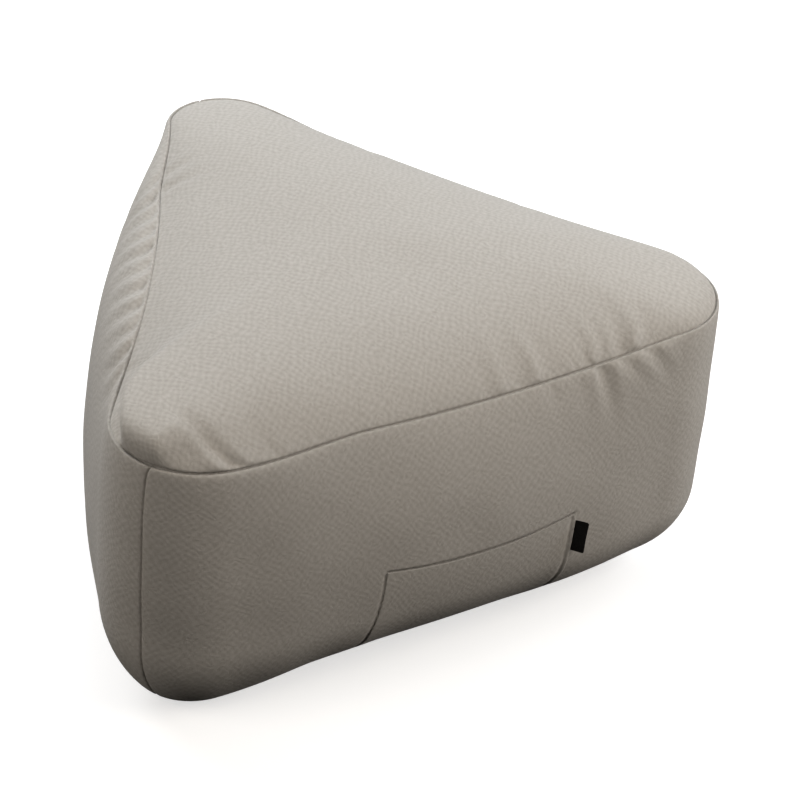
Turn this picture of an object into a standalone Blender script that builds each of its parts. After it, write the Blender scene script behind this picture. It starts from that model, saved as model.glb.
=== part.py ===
"""Triangular floor pouf: a filled cloth body with rounded corners, a carrying handle and a bare label.

Metres, +Z up. The pouf stands on z = 0 with its front side, which carries the handle, facing -Y.
"""
from collections import namedtuple
from math import cos, radians, sin, sqrt

import bpy
import numpy as np

# Driving dimensions of the body
SIDE = 0.90                  # side of the triangle, measured to its sharp corners
CORNER_RADIUS = 0.0905       # round of each corner, seen from above
SEAM_HEIGHT = 0.388          # height of the top seam, before its own rise and sag
CROWN_RISE = 0.054           # slow rise of the top panel from its edge to its middle
CROWN_REACH = 0.095          # how far in from the seam most of that rise is done
SHOULDER_RISE = 0.0091       # quick rise of the top panel right beside the seam
SAG_REACH = 0.043            # how far in from the seam the top panel follows the seam up and down
SWELL_SKEW = 0.937           # under 1, the band is widest a little above its middle
TUCK_START = 0.684           # part of the height below which the band tucks under
TUCK_POWER = 2.15
BOTTOM_ROLL = 0.070          # how far in from its seam the bottom panel lies flat on the floor

# Grooves that the seams pull into the cloth
GROOVE_DEPTH = 0.0035
GROOVE_WIDTH = 0.006
PUCKER_START = 0.0045         # distance from the seam at which the puckers set in

# The handle, a sheet on the front of the band, and the label at its right end
HANDLE_LEFT = -0.107         # the handle's ends, along the front from its middle
HANDLE_RIGHT = 0.1525
HANDLE_FLARE = 0.0190        # how far its left end would run out to the side at the foot
FLARE_END = 0.66             # part of the way down at which the left end stops running out
HANDLE_TOP = 0.188           # height of the free top edge at its ends
HANDLE_DROOP = 0.009         # how much lower that edge hangs between the ends
HANDLE_FOOT = 0.045          # height of its lower edge
HANDLE_THICKNESS = 0.002
HANDLE_DENT = 0.006          # how far the tight handle draws in the band under it
DENT_HEIGHT = 0.060          # height of the middle of that dent
DENT_EDGE_POWER = 6          # the larger, the sharper the dent ends where the handle ends
LABEL_WIDTH = 0.016
LABEL_TURN = radians(50)     # how far the label is turned away from the band
LABEL_TOP = 0.1775
LABEL_HEIGHT = 0.047
LABEL_THICKNESS = 0.001
CLEARANCE = 0.0006           # between the band and what lies on it
SIDE_GAP = 0.0005            # between the handle's end and the label

INRADIUS = SIDE / (2 * sqrt(3))
STRAIGHT = 2 * sqrt(3) * (INRADIUS - CORNER_RADIUS)
ARC = CORNER_RADIUS * radians(120)
PITCH = STRAIGHT + ARC       # from one corner's middle to the next, round the ring
CLOSING = 1.15 * INRADIUS    # inward distance at which the rings of the top and bottom meet in the middle
CORNER_BLEND = 0.3 * STRAIGHT  # how far along an edge its corner's share runs out
EDGE_BLEND = 0.2             # the larger, the softer an edge's bow runs out into its corners

# Corners in order round the ring, each followed by its edge: their share in the shape. The smaller the
# power, the boxier the band swells between its two seams. The tuck is how far the band would tuck under,
# were it carried down to the floor. The shoulder is how far in the quick rise beside the seam reaches, and
# the foot is the height of the bottom seam.
Corner = namedtuple("Corner", "name rise reach swell power tuck shoulder foot")
CORNERS = (
    Corner("front left", -0.0136, 0.0054, 0.0090, 0.490, 0.048, 0.018, 0.020),
    Corner("front right", 0.0018, 0.0020, 0.0064, 0.320, 0.100, 0.004, 0.035),
    Corner("back", 0.0232, -0.0181, 0.0070, 0.340, 0.055, 0.015, 0.035),
)
Edge = namedtuple("Edge", "name draw_in sag swell power tuck shoulder foot")
EDGES = (
    Edge("front", -0.0050, 0.0151, 0.0361, 0.877, 0.0720, 0.0097, 0.035),
    Edge("right", 0.0050, 0.0043, 0.0340, 0.413, 0.0606, 0.0065, 0.035),
    Edge("left", 0.0237, -0.0205, 0.0678, 0.353, 0.0535, 0.030, 0.035),
)
FRONT, RIGHT, LEFT = 0.5, 1.5, 2.5    # the edges' middles, in pitches round the ring
FRONT_LEFT = 0                        # the front left corner's middle

# Puckers where the seams gather the cloth: where they meet the top seam, along from the edge's middle;
# their lean, in metres along for each metre away from the seam; their depth, below zero for a ridge; and
# the sweep, how far along they run right beside the seam
Pucker = namedtuple("Pucker", "panel middle along lean length width depth sweep", defaults=[0])
PUCKERS = (
    Pucker("top", FRONT, -0.290, -1.20, 0.070, 0.0105, 0.0046),
    Pucker("top", FRONT, -0.240, -1.00, 0.060, 0.0100, 0.0010),
    Pucker("top", FRONT, 0.091, 0.05, 0.060, 0.0110, -0.0024),
    Pucker("top", FRONT, 0.184, 0.22, 0.045, 0.0120, -0.0026),
    Pucker("top", FRONT, 0.204, 0.68, 0.075, 0.0110, 0.0026),
    Pucker("top", LEFT, -0.170, -1.10, 0.060, 0.0090, 0.0018),
    Pucker("top", LEFT, -0.134, -0.90, 0.065, 0.0090, 0.0022),
    Pucker("top", LEFT, 0.226, 0.66, 0.100, 0.0100, 0.0012),
    Pucker("top", RIGHT, -0.120, 0.50, 0.035, 0.0140, 0.0012),
    Pucker("top", RIGHT, 0.150, -0.60, 0.035, 0.0140, 0.0012),
    Pucker("band", FRONT, 0.107, 0.26, 0.035, 0.0100, 0.0010),
    Pucker("band", FRONT, 0.178, 0.23, 0.052, 0.0100, 0.0036),
    Pucker("band", FRONT, 0.204, 0.80, 0.040, 0.0090, 0.0014),
    Pucker("band", FRONT, 0.243, 0.60, 0.038, 0.0100, 0.0022),
    Pucker("band", RIGHT, -0.200, 0.80, 0.055, 0.0140, 0.0024),
    Pucker("band", RIGHT, -0.040, 0.30, 0.050, 0.0140, 0.0018),
    Pucker("band", RIGHT, 0.130, -0.50, 0.055, 0.0140, 0.0022),
)

# The left side's band carries an even row of slanting puckers
RIPPLES = 11
RIPPLE_ALONG = (-0.180, 0.220)
RIPPLE_LEAN = (0, -0.82)
RIPPLE_LENGTH, RIPPLE_WIDTH = 0.050, 0.0115
RIPPLE_DEPTH, RIPPLE_UNEVEN = 0.0028, 0.35
RIPPLE_TURNS, RIPPLE_FIRST = 2.4, -1.2       # how their depths vary from one to the next, as a sine's angle
RIPPLE_SWEEP, SWEEP_REACH = 0.045, 0.012

# At the front left corner the top panel stands up steeply and puffs out over its seam
PUFF_START, PUFF_ONSET = -0.047, 0.016       # along from the corner's middle
PUFF_FULL_END, PUFF_FALL = 0.004, 0.015
PUFF_REST = 0.12                             # share of the puff that is left beyond its fall
PUFF_END, PUFF_CLOSE = 0.065, 0.050
PUFF_SPREAD, SPREAD_REACH = 2.0, 0.022       # how much longer it is further in, and how far in
PUFF_QUICK, PUFF_SLOW = 0.0038, 0.035        # how far in from the seam it rises, and runs out
PUFF_ROLL, PUFF_RISE = 0.013, 0.031

# Rings of the loft, from the top panel's middle to the bottom panel's. On the top, a reach is the
# distance in from the seam; on the band and the bottom, the part of the way from the panel's seam.
TOP_REACHES = (0.245, 0.190, 0.145, 0.108, 0.078, 0.054, 0.035, 0.021, 0.011, 0.005, 0.0015)
BAND_REACHES = (0, 0.003, 0.010, 0.023, 0.045, 0.08, 0.125, 0.18, 0.245, 0.32, 0.40, 0.48, 0.56, 0.64,
                0.71, 0.775, 0.83, 0.88, 0.925, 0.965, 1)
BOTTOM_REACHES = (0.10, 0.30, 0.60, 1)

# Columns of the loft: parts of each corner's half arc, and steps along each edge
ARC_STATIONS = (-1, -0.74, -0.48, -0.36, -0.21, -0.065, 0, 0.065, 0.25, 0.48, 0.74)
STEPS_TO_HANDLE, STEPS_ON_HANDLE, STEPS_PAST_HANDLE = 16, 16, 15
STEPS_RIGHT, STEPS_LEFT = 24, 58
HANDLE_ROWS, HANDLE_COLUMNS = 12, 20
LABEL_ROWS, LABEL_COLUMNS = 7, 4

CLOTH_COLOUR = (0.47, 0.44, 0.40, 1)
LABEL_COLOUR = (0.012, 0.012, 0.013, 1)


def ring_place(pitches, along):
    """Distance round the ring of a point `along` metres past a corner's or an edge's middle."""
    return pitches * PITCH + along


def ring_gap(place, other):
    """Signed distance round the ring from `other` to each place, the short way."""
    whole = 3 * PITCH
    return (place - other + whole / 2) % whole - whole / 2


def ease(part):
    """From 0 to 1, flat at both ends."""
    part = np.clip(part, 0, 1)
    return part * part * (3 - 2 * part)


def outline(place):
    """Point and outward direction on the plain rounded triangle at each ring place."""
    nearest = np.round(place / PITCH)
    past = place - nearest * PITCH
    on_arc = np.clip(past, -ARC / 2, ARC / 2)
    corner = np.radians(120 * nearest - 150)
    angle = corner + on_arc / CORNER_RADIUS
    centre = 2 * (INRADIUS - CORNER_RADIUS) * np.stack([np.cos(corner), np.sin(corner)], -1)
    outward = np.stack([np.cos(angle), np.sin(angle)], -1)
    forward = np.stack([-np.sin(angle), np.cos(angle)], -1)
    point = centre + CORNER_RADIUS * outward + (past - on_arc)[..., None] * forward
    return point, outward


def shares(place):
    """How much each place belongs to each edge's middle, and to each corner."""
    edges, corners = [], []
    for index in range(3):
        along = ring_gap(place, ring_place(index + 0.5, 0)) / (STRAIGHT / 2)
        bow = 1 - along ** 2
        edges.append((bow + np.sqrt(bow ** 2 + EDGE_BLEND ** 2)) / 2)
        past_arc = np.abs(ring_gap(place, ring_place(index, 0))) - ARC / 2
        corners.append(ease(1 - past_arc / CORNER_BLEND))
    return edges, corners


def mixed(weights, rows, field):
    """A table's field, mixed by each row's share."""
    return sum(weight * getattr(row, field) for weight, row in zip(weights, rows))


def handed(place, field):
    """A field of the nearest edge, handed over to its corners near them."""
    corners = shares(place)[1]
    nearest = np.floor(place / PITCH).astype(int) % 3
    own = np.array([getattr(edge, field) for edge in EDGES])[nearest]
    return mixed(corners, CORNERS, field) + (1 - sum(corners)) * own


def seam_push(place):
    """How far outside the plain triangle the top seam runs."""
    edges, corners = shares(place)
    return mixed(corners, CORNERS, "reach") - mixed(edges, EDGES, "draw_in")


def seam_rise(place):
    """How far above its nominal height the top seam runs."""
    edges, corners = shares(place)
    return mixed(corners, CORNERS, "rise") - mixed(edges, EDGES, "sag")


def puff_share(place, inward):
    """How much each place has of the front left corner's puff, which is longer further in."""
    along = ring_gap(place, ring_place(FRONT_LEFT, 0))
    spread = 1 + PUFF_SPREAD * (1 - np.exp(-(inward / SPREAD_REACH) ** 2))
    fall = np.exp(-(np.maximum(along - PUFF_FULL_END, 0) / (PUFF_FALL * spread)) ** 2)
    onset = ease((along / spread - PUFF_START) / PUFF_ONSET)
    return onset * (1 - ease((along - PUFF_END) / PUFF_CLOSE)) * (PUFF_REST + (1 - PUFF_REST) * fall)


def puff(place, inward):
    """How much the top panel puffs out over its seam, round the front left corner."""
    return puff_share(place, inward) * (1 - np.exp(-inward / PUFF_QUICK)) * np.exp(-inward / PUFF_SLOW)


def top(place, inward):
    """Top panel, at a distance in from its seam."""
    point, outward = outline(place)
    rim = point + seam_push(place)[..., None] * outward
    puffed = puff(place, inward)
    flat = rim * (1 - inward / CLOSING)[..., None] + PUFF_ROLL * puffed[..., None] * outward
    height = (SEAM_HEIGHT + CROWN_RISE * (1 - np.exp(-inward / CROWN_REACH))
              + SHOULDER_RISE * (1 - np.exp(-inward / handed(place, "shoulder")))
              + seam_rise(place) * np.exp(-inward / SAG_REACH) + PUFF_RISE * puffed)
    return np.concatenate([flat, height[..., None]], -1)


def handle_dent(place, height):
    """How far the handle draws in the band under it."""
    middle, half = (HANDLE_LEFT + HANDLE_RIGHT) / 2, (HANDLE_RIGHT - HANDLE_LEFT) / 2
    across = ring_gap(place, ring_place(FRONT, middle)) / half
    up = (height - DENT_HEIGHT) / DENT_HEIGHT
    return HANDLE_DENT * np.exp(-across ** DENT_EDGE_POWER - up ** 2)


def band(place, part):
    """Side band, from the top seam at 0 to the bottom seam at 1."""
    point, outward = outline(place)
    edges, corners = shares(place)
    rim_height = SEAM_HEIGHT + seam_rise(place)
    height = rim_height + (handed(place, "foot") - rim_height) * part
    down = 1 - height / rim_height
    swell = mixed(corners, CORNERS, "swell") + mixed(edges, EDGES, "swell")
    bulge = np.clip(down, 0, 1) ** SWELL_SKEW
    push = (seam_push(place) * (1 - down) + swell * (4 * bulge * (1 - bulge)) ** handed(place, "power")
            - handed(place, "tuck") * np.clip((down - TUCK_START) / (1 - TUCK_START), 0, 1) ** TUCK_POWER
            - handle_dent(place, height))
    flat = point + push[..., None] * outward
    return np.concatenate([flat, height[..., None]], -1)


def bottom(place, part):
    """Bottom panel, from its seam at 0 to where it lies flat on the floor at 1."""
    rim = band(place, np.ones_like(place))[..., :2]
    flat = rim * (1 - BOTTOM_ROLL * part / CLOSING)[..., None]
    height = handed(place, "foot") * (1 - part) ** 2
    return np.concatenate([flat, height[..., None]], -1)


def side_puckers():
    """The row of puckers on the left side."""
    rows = zip(np.linspace(*RIPPLE_ALONG, RIPPLES), np.linspace(*RIPPLE_LEAN, RIPPLES))
    puckers = []
    for index, (along, lean) in enumerate(rows):
        depth = RIPPLE_DEPTH * (1 + RIPPLE_UNEVEN * sin(RIPPLE_TURNS * index + RIPPLE_FIRST))
        puckers.append(Pucker("band", LEFT, along, lean, RIPPLE_LENGTH, RIPPLE_WIDTH, depth, RIPPLE_SWEEP))
    return puckers


def pucker_depth(panel, place, away):
    """Depth of a panel's puckers at a distance away from the top seam."""
    depth = np.zeros_like(place)
    for pucker in [*PUCKERS, *side_puckers()]:
        if pucker.panel != panel:
            continue
        swept = pucker.sweep * (1 - np.exp(-away / SWEEP_REACH))
        course = ring_place(pucker.middle, pucker.along + pucker.lean * away + swept)
        across = (ring_gap(place, course) / pucker.width) ** 2
        fade = np.exp(-(away / pucker.length) ** 2) * (1 - np.exp(-(away / PUCKER_START) ** 2))
        depth += pucker.depth * (1 - across) * np.exp(-across / 2) * fade
    return depth


def groove_depth(distance):
    """Depth of a seam's groove at a distance from the seam."""
    return GROOVE_DEPTH * np.exp(-(distance / GROOVE_WIDTH) ** 2)


def travelled(grid):
    """Distance down each column of a grid from its first row."""
    steps = np.linalg.norm(np.diff(grid, axis=0), axis=-1)
    return np.concatenate([np.zeros((1, grid.shape[1])), np.cumsum(steps, axis=0)])


def relief(panel, place, reach, points):
    """How deep seams and puckers draw in the cloth."""
    if panel == "bottom":
        return groove_depth(BOTTOM_ROLL * reach)
    if panel == "top":
        away = travelled(points[::-1])[::-1] + reach[-1]
        return groove_depth(away) + pucker_depth(panel, place, away)
    away = travelled(points)
    to_corner = np.min([np.abs(ring_gap(place, ring_place(corner, 0))) for corner in range(3)], axis=0)
    nearest = np.minimum(np.minimum(away, away[-1] - away), to_corner)
    return groove_depth(nearest) + pucker_depth(panel, place, away)


def ring_columns():
    """Ring places of the loft's columns, closer together where the cloth puckers."""
    half = STRAIGHT / 2
    runs_by_edge = (
        ((-half, HANDLE_LEFT, STEPS_TO_HANDLE), (HANDLE_LEFT, HANDLE_RIGHT, STEPS_ON_HANDLE),
         (HANDLE_RIGHT, half, STEPS_PAST_HANDLE)),
        ((-half, half, STEPS_RIGHT),),
        ((-half, half, STEPS_LEFT),),
    )
    places = []
    for corner, runs in enumerate(runs_by_edge):
        places += [ring_place(corner, station * ARC / 2) for station in ARC_STATIONS]
        for start, end, steps in runs:
            along = np.linspace(start, end, steps, endpoint=False)
            places += list(ring_place(corner + 0.5, along))
    return np.array(places)


def grid_normals(grid, closed):
    """Outward direction at each point of a grid whose rows run down and columns round the ring."""
    if closed:
        across = np.roll(grid, -1, axis=1) - np.roll(grid, 1, axis=1)
    else:
        across = np.gradient(grid, axis=1)
    normal = np.cross(np.gradient(grid, axis=0), across)
    return normal / np.linalg.norm(normal, axis=-1, keepdims=True)


def grid_faces(rows, columns, closed):
    """Quads of a grid, facing outwards."""
    faces = []
    for row in range(rows - 1):
        for column in range(columns if closed else columns - 1):
            here = row * columns + column
            beside = row * columns + (column + 1) % columns
            faces.append((here, here + columns, beside + columns, beside))
    return faces


def add_piece(name, points, faces, material, collection):
    """A mesh object from points and faces, with one material."""
    mesh = bpy.data.meshes.new(name)
    mesh.from_pydata(points, [], faces)
    mesh.materials.append(material)
    piece = bpy.data.objects.new(name, mesh)
    collection.objects.link(piece)
    return piece


def build_body(material, collection):
    """The filled body, one closed loft through all rings."""
    panels = {"top": (top, TOP_REACHES), "band": (band, BAND_REACHES), "bottom": (bottom, BOTTOM_REACHES)}
    columns = ring_columns()
    grids, depths = [], []
    for panel, (surface, reaches) in panels.items():
        place, reach = np.meshgrid(columns, reaches)
        points = surface(place, reach)
        grids.append(points)
        depths.append(relief(panel, place, reach, points))
    grid = np.concatenate(grids)
    grid = grid - grid_normals(grid, True) * np.concatenate(depths)[..., None]
    grid[-1, :, 2] = 0
    rows, columns = grid.shape[:2]
    top_middle = (0, 0, grid[0, :, 2].mean())
    points = [*grid.reshape(-1, 3).tolist(), top_middle, (0, 0, 0)]
    faces = grid_faces(rows, columns, True)
    first_of_last = (rows - 1) * columns
    for column in range(columns):
        beside = (column + 1) % columns
        faces.append((rows * columns, column, beside))
        faces.append((rows * columns + 1, first_of_last + beside, first_of_last + column))
    return add_piece("pouf_body", points, faces, material, collection)


def build_sheet(name, along, heights, lift, thickness, side, material, collection):
    """A sheet at the front of the band, from each point's place along it, its height and its lift off it.

    Its thickness is laid on outside those points where the side is 1, and inside them where it is -1.
    """
    place = ring_place(FRONT, along)
    rim_height = SEAM_HEIGHT + seam_rise(place)
    grid = band(place, (rim_height - heights) / (rim_height - handed(place, "foot")))
    grid = grid + grid_normals(grid, False) * lift[..., None]
    faces = grid_faces(*heights.shape, False)
    piece = add_piece(name, grid.reshape(-1, 3).tolist(), faces, material, collection)
    solidify = piece.modifiers.new("thickness", "SOLIDIFY")
    solidify.thickness = thickness
    solidify.offset = side
    solidify.use_even_offset = True
    return piece


def build_handle(material, collection):
    """The carrying handle, whose free top edge droops between its sewn ends."""
    across, down = np.meshgrid(np.linspace(0, 1, HANDLE_COLUMNS), np.linspace(0, 1, HANDLE_ROWS))
    left_end = HANDLE_LEFT - HANDLE_FLARE * np.minimum(down, FLARE_END) ** 2
    top_edge = HANDLE_TOP - HANDLE_DROOP * (1 - (2 * across - 1) ** 2)
    along = left_end + (HANDLE_RIGHT - left_end) * across
    heights = top_edge + (HANDLE_FOOT - top_edge) * down
    lift = np.full_like(along, CLEARANCE)
    return build_sheet("handle", along, heights, lift, HANDLE_THICKNESS, 1, material, collection)


def build_label(material, collection):
    """The bare label at the handle's right end, held by one side and turned away from the band."""
    across, down = np.meshgrid(np.linspace(0, 1, LABEL_COLUMNS), np.linspace(0, 1, LABEL_ROWS))
    along = HANDLE_RIGHT + SIDE_GAP + LABEL_WIDTH * cos(LABEL_TURN) * across
    heights = LABEL_TOP - LABEL_HEIGHT * down
    lift = CLEARANCE + LABEL_THICKNESS + LABEL_WIDTH * sin(LABEL_TURN) * across
    return build_sheet("label", along, heights, lift, LABEL_THICKNESS, -1, material, collection)


def cloth_material(name, colour, roughness):
    """A matte cloth in one colour."""
    material = bpy.data.materials.new(name)
    material.use_nodes = True
    shader = material.node_tree.nodes["Principled BSDF"]
    shader.inputs["Base Color"].default_value = colour
    shader.inputs["Roughness"].default_value = roughness
    shader.inputs["Metallic"].default_value = 0
    return material


def main():
    for item in list(bpy.data.objects):
        bpy.data.objects.remove(item, do_unlink=True)
    collection = bpy.data.collections.new("triangular_pouf")
    bpy.context.scene.collection.children.link(collection)
    build_body(cloth_material("body_cloth", CLOTH_COLOUR, 0.9), collection)
    build_handle(cloth_material("handle_cloth", CLOTH_COLOUR, 0.9), collection)
    build_label(cloth_material("label_cloth", LABEL_COLOUR, 0.7), collection)


main()
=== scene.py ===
"""Looks of the triangular pouf: its sewn and filled cover, carrying handle and plain label, in a studio.

Metres, +Z up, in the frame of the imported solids. The front side, which carries the handle, faces -Y.
"""

from collections import namedtuple
from math import cos, pi, radians, sin, sqrt

import bpy
import numpy as np
from mathutils import Matrix, Vector


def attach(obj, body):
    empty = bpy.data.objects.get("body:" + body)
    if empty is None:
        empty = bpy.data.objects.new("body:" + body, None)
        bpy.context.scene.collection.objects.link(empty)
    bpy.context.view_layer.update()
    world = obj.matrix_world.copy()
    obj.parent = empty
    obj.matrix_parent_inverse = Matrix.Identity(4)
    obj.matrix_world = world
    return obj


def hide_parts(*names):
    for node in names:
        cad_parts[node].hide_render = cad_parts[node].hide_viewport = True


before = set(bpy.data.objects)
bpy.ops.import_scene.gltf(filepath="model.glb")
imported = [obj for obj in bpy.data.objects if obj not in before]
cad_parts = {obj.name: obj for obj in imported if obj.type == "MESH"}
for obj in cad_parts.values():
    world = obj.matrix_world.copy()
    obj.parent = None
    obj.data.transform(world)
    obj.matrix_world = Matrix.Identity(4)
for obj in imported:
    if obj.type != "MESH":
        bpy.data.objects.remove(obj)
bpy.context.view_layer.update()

# Driving dimensions of the body, as in its solid
SIDE = 0.90                  # of the triangle whose corners are then rounded
CORNER_RADIUS = 0.0905
SEAM_HEIGHT = 0.388          # of the top seam, before it rises and sags
CROWN_RISE = 0.054
CROWN_REACH = 0.095
SHOULDER_RISE = 0.0091
SAG_REACH = 0.043            # distance in from the seam over which its rises and sags fade
SWELL_SKEW = 0.937           # under 1, the band is widest above its middle
TUCK_START = 0.684           # share of the way down at which the band starts to tuck under
TUCK_POWER = 2.15
BOTTOM_ROLL = 0.070          # about how far in from its seam the bottom panel meets the floor

INRADIUS = SIDE / (2 * sqrt(3))
STRAIGHT = 2 * sqrt(3) * (INRADIUS - CORNER_RADIUS)
ARC = CORNER_RADIUS * radians(120)
PITCH = STRAIGHT + ARC       # from one corner's middle to the next, round the ring
CLOSING = 1.15 * INRADIUS    # inward distance at which the rings of the top and bottom meet in the middle
CORNER_BLEND = 0.3 * STRAIGHT    # how far past its arc a corner's values run out
EDGE_BLEND = 0.2             # how softly an edge's values run out towards its corners

# Each corner and each edge: how far its top seam rises or sags, and lies out or in; how far the band swells
# out, the power of that bulge, and how far it tucks under; over what distance the top panel's shoulder
# rises; the bottom seam's height; and how strongly the top seam draws in the cloth
Corner = namedtuple("Corner", "name rise reach swell power tuck shoulder foot fold")
CORNERS = (
    Corner("front left", -0.0136, 0.0054, 0.0090, 0.490, 0.048, 0.018, 0.020, 1.0),
    Corner("front right", 0.0018, 0.0020, 0.0064, 0.320, 0.100, 0.004, 0.035, 0.4),
    Corner("back", 0.0232, -0.0181, 0.0070, 0.340, 0.055, 0.015, 0.035, 0.3),
)
Edge = namedtuple("Edge", "name draw_in sag swell power tuck shoulder foot fold")
EDGES = (
    Edge("front", -0.0050, 0.0151, 0.0361, 0.877, 0.0720, 0.0097, 0.035, 0.8),
    Edge("right", 0.0050, 0.0043, 0.0340, 0.413, 0.0606, 0.0065, 0.035, 0.8),
    Edge("left", 0.0237, -0.0205, 0.0678, 0.353, 0.0535, 0.030, 0.035, 0.15),
)
FRONT, RIGHT, LEFT = 0.5, 1.5, 2.5    # the edges' middles, in pitches round the ring
FRONT_LEFT = 0                        # the front left corner's middle

# The handle and the label, along the front from its middle, and in height
HANDLE_LEFT = -0.107
HANDLE_RIGHT = 0.1525
HANDLE_FLARE = 0.0190
FLARE_END = 0.66             # share of the way down at which the left edge stops flaring
HANDLE_TOP = 0.188
HANDLE_DROOP = 0.009
HANDLE_FOOT = 0.045
HANDLE_THICKNESS = 0.0009
HANDLE_ROUND = 0.0018        # how far in from its edge the handle is rounded
HANDLE_SINK = 0.0009         # how far the taut handle sinks into the soft band
SEWN_SHARE = 0.25            # part of the thickness that is left at its sewn right edge
HANDLE_DENT = 0.006          # how far the handle draws in the band, deepest at the next height
DENT_HEIGHT = 0.060
DENT_EDGE_POWER = 6          # the more, the more suddenly it ends at the handle's sides
HEM = 0.0060                 # from the handle's right edge to the row of stitches that holds it
HEM_DEPTH, HEM_WIDTH = 0.0017, 0.0022
HEM_ONSET = 0.008            # how far below the top edge the stitches reach their full depth
LABEL_WIDTH = 0.016
LABEL_TURN = radians(50)     # how far the label is turned away from the band
LABEL_TOP = 0.1775
LABEL_HEIGHT = 0.047
LABEL_THICKNESS = 0.0010
LABEL_ROUND = 0.0025         # round of its two free corners
LABEL_EDGE_ROUND = 0.0006
LABEL_CURL = 0.0010          # how far its free edge bends back towards the band
CLEARANCE = 0.0004
EDGE_THICKNESS = 0.0002      # what is left of the handle and the label at their rounded edges

# Grooves that the handle presses into the band: where they lie outside its left and top edges, and how they
# set in under it and run out past its corners
PRESS_LEFT_AT, PRESS_LEFT_WIDTH, PRESS_LEFT_DEPTH = 0.0018, 0.0019, 0.0014
PRESS_TOP_AT, PRESS_TOP_WIDTH, PRESS_TOP_DEPTH = 0.0006, 0.0015, 0.0026
PRESS_UNDER_DEPTH = 0.0013
UNDER_FROM_LEFT, UNDER_FROM_TOP = 0.002, 0.001
PRESS_PAST, PRESS_FADE = 0.004, 0.010

# Grooves along the seams, as a sharp fold inside a soft one, and the band's lip under the top seam
FOLD_DEPTH, FOLD_WIDTH = 0.0042, 0.0009
SOFT_DEPTH, SOFT_WIDTH = 0.0003, 0.0050
CORNER_DEPTH, CORNER_WIDTH = 0.0030, 0.0012
LIP_HEIGHT, LIP_START, LIP_REACH = 0.0013, 0.0018, 0.014
LEFT_FOLD = 0.04             # strength of the left side's seam, up to the puff
PIPING_HEIGHT, PIPING_WIDTH = 0.0014, 0.0018    # narrow ridge of the band beside the left side's seam
PIPING_AT = 1.2              # its distance from the seam, in widths
PUCKER_START = 0.0045        # distance from the seam at which the puckers set in

# Puckers: where they meet the top seam, along from the edge's middle; their lean, in metres along for
# each metre away from the seam; their size; and how far they sweep along close to the seam
Pucker = namedtuple("Pucker", "panel middle along lean length width depth sweep", defaults=[0])
PUCKERS = (
    Pucker("top", FRONT, -0.290, -1.20, 0.070, 0.0105, 0.0046),
    Pucker("top", FRONT, -0.240, -1.00, 0.060, 0.0100, 0.0010),
    Pucker("top", FRONT, 0.045, 0.12, 0.055, 0.0110, -0.0016),
    Pucker("top", FRONT, 0.091, 0.25, 0.060, 0.0110, -0.0024),
    Pucker("top", FRONT, 0.170, 0.55, 0.060, 0.0085, -0.0023),
    Pucker("top", FRONT, 0.189, 0.65, 0.050, 0.0080, -0.0020),
    Pucker("top", FRONT, 0.222, 0.78, 0.090, 0.0110, -0.0036),
    Pucker("top", LEFT, -0.170, -1.10, 0.060, 0.0090, 0.0018),
    Pucker("top", LEFT, -0.134, -0.90, 0.065, 0.0090, 0.0022),
    Pucker("top", LEFT, 0.226, 0.66, 0.100, 0.0100, 0.0012),
    Pucker("top", RIGHT, -0.120, 0.50, 0.035, 0.0140, 0.0012),
    Pucker("top", RIGHT, 0.150, -0.60, 0.035, 0.0140, 0.0012),
    Pucker("band", FRONT, 0.107, 0.26, 0.035, 0.0100, 0.0010),
    Pucker("band", FRONT, 0.178, 0.23, 0.052, 0.0100, 0.0036),
    Pucker("band", FRONT, 0.204, 0.80, 0.040, 0.0090, 0.0014),
    Pucker("band", FRONT, 0.243, 0.60, 0.038, 0.0100, 0.0022),
    Pucker("band", RIGHT, -0.200, 0.80, 0.055, 0.0140, 0.0024),
    Pucker("band", RIGHT, -0.040, 0.30, 0.050, 0.0140, 0.0018),
    Pucker("band", RIGHT, 0.130, -0.50, 0.055, 0.0140, 0.0022),
)

# The row of like puckers on the left side's band, from its first to its last
RIPPLES = 11
RIPPLE_ALONG = (-0.180, 0.220)
RIPPLE_LEAN = (0, -0.82)
RIPPLE_LENGTH, RIPPLE_WIDTH = 0.050, 0.0115
RIPPLE_DEPTH, RIPPLE_UNEVEN = 0.0028, 0.35
RIPPLE_TURNS, RIPPLE_FIRST = 2.4, -1.2       # how their depths vary from one to the next, as a sine's angle
RIPPLE_SWEEP, SWEEP_REACH = 0.045, 0.012

# Small gathers all along the top seam, and slow waves over the top and the band
GATHER_WAVES = (0.009, 0.024)
GATHER_DEPTH, GATHER_REACH = 0.00035, 0.014
SLOW_WAVES = (0.07, 0.20)
SLOW_DEPTH, SLOW_ONSET = 0.0004, 0.05        # the onset is a distance from the top seam

# At the front left corner the top panel stands up steeply and puffs out over its seam
PUFF_START, PUFF_ONSET = -0.047, 0.016       # along from the corner's middle
PUFF_FULL_END, PUFF_FALL = 0.004, 0.015
PUFF_REST = 0.12                             # share of the puff that is left beyond its fall
PUFF_END, PUFF_CLOSE = 0.065, 0.050
PUFF_SPREAD, SPREAD_REACH = 2.0, 0.022       # how much longer it is further in, and how far in
PUFF_QUICK, PUFF_SLOW = 0.0038, 0.035        # how far in from the seam it rises, and runs out
PUFF_ROLL, PUFF_RISE = 0.013, 0.031
UNDER_PUFF_DEPTH, UNDER_PUFF_WIDTH = 0.0030, 0.0018    # the seam's fold is deeper where the puff overhangs it

# Painted shade: the cloth's colour is darkened at the bottom of each narrow fold, where shade falls
PAINTED_SHADE_WIDTH = 0.0011
EDGE_PAINTED_SHADE_WIDTH = 0.0013   # at the handle's top edge
EDGE_PAINTED_SHADE_FADE = 0.002     # along that edge, at its ends
CREASE_PAINTED_SHADE = 0.40
PAINTED_SHADE_TONE = (0.070, 0.064, 0.057, 1)

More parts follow.
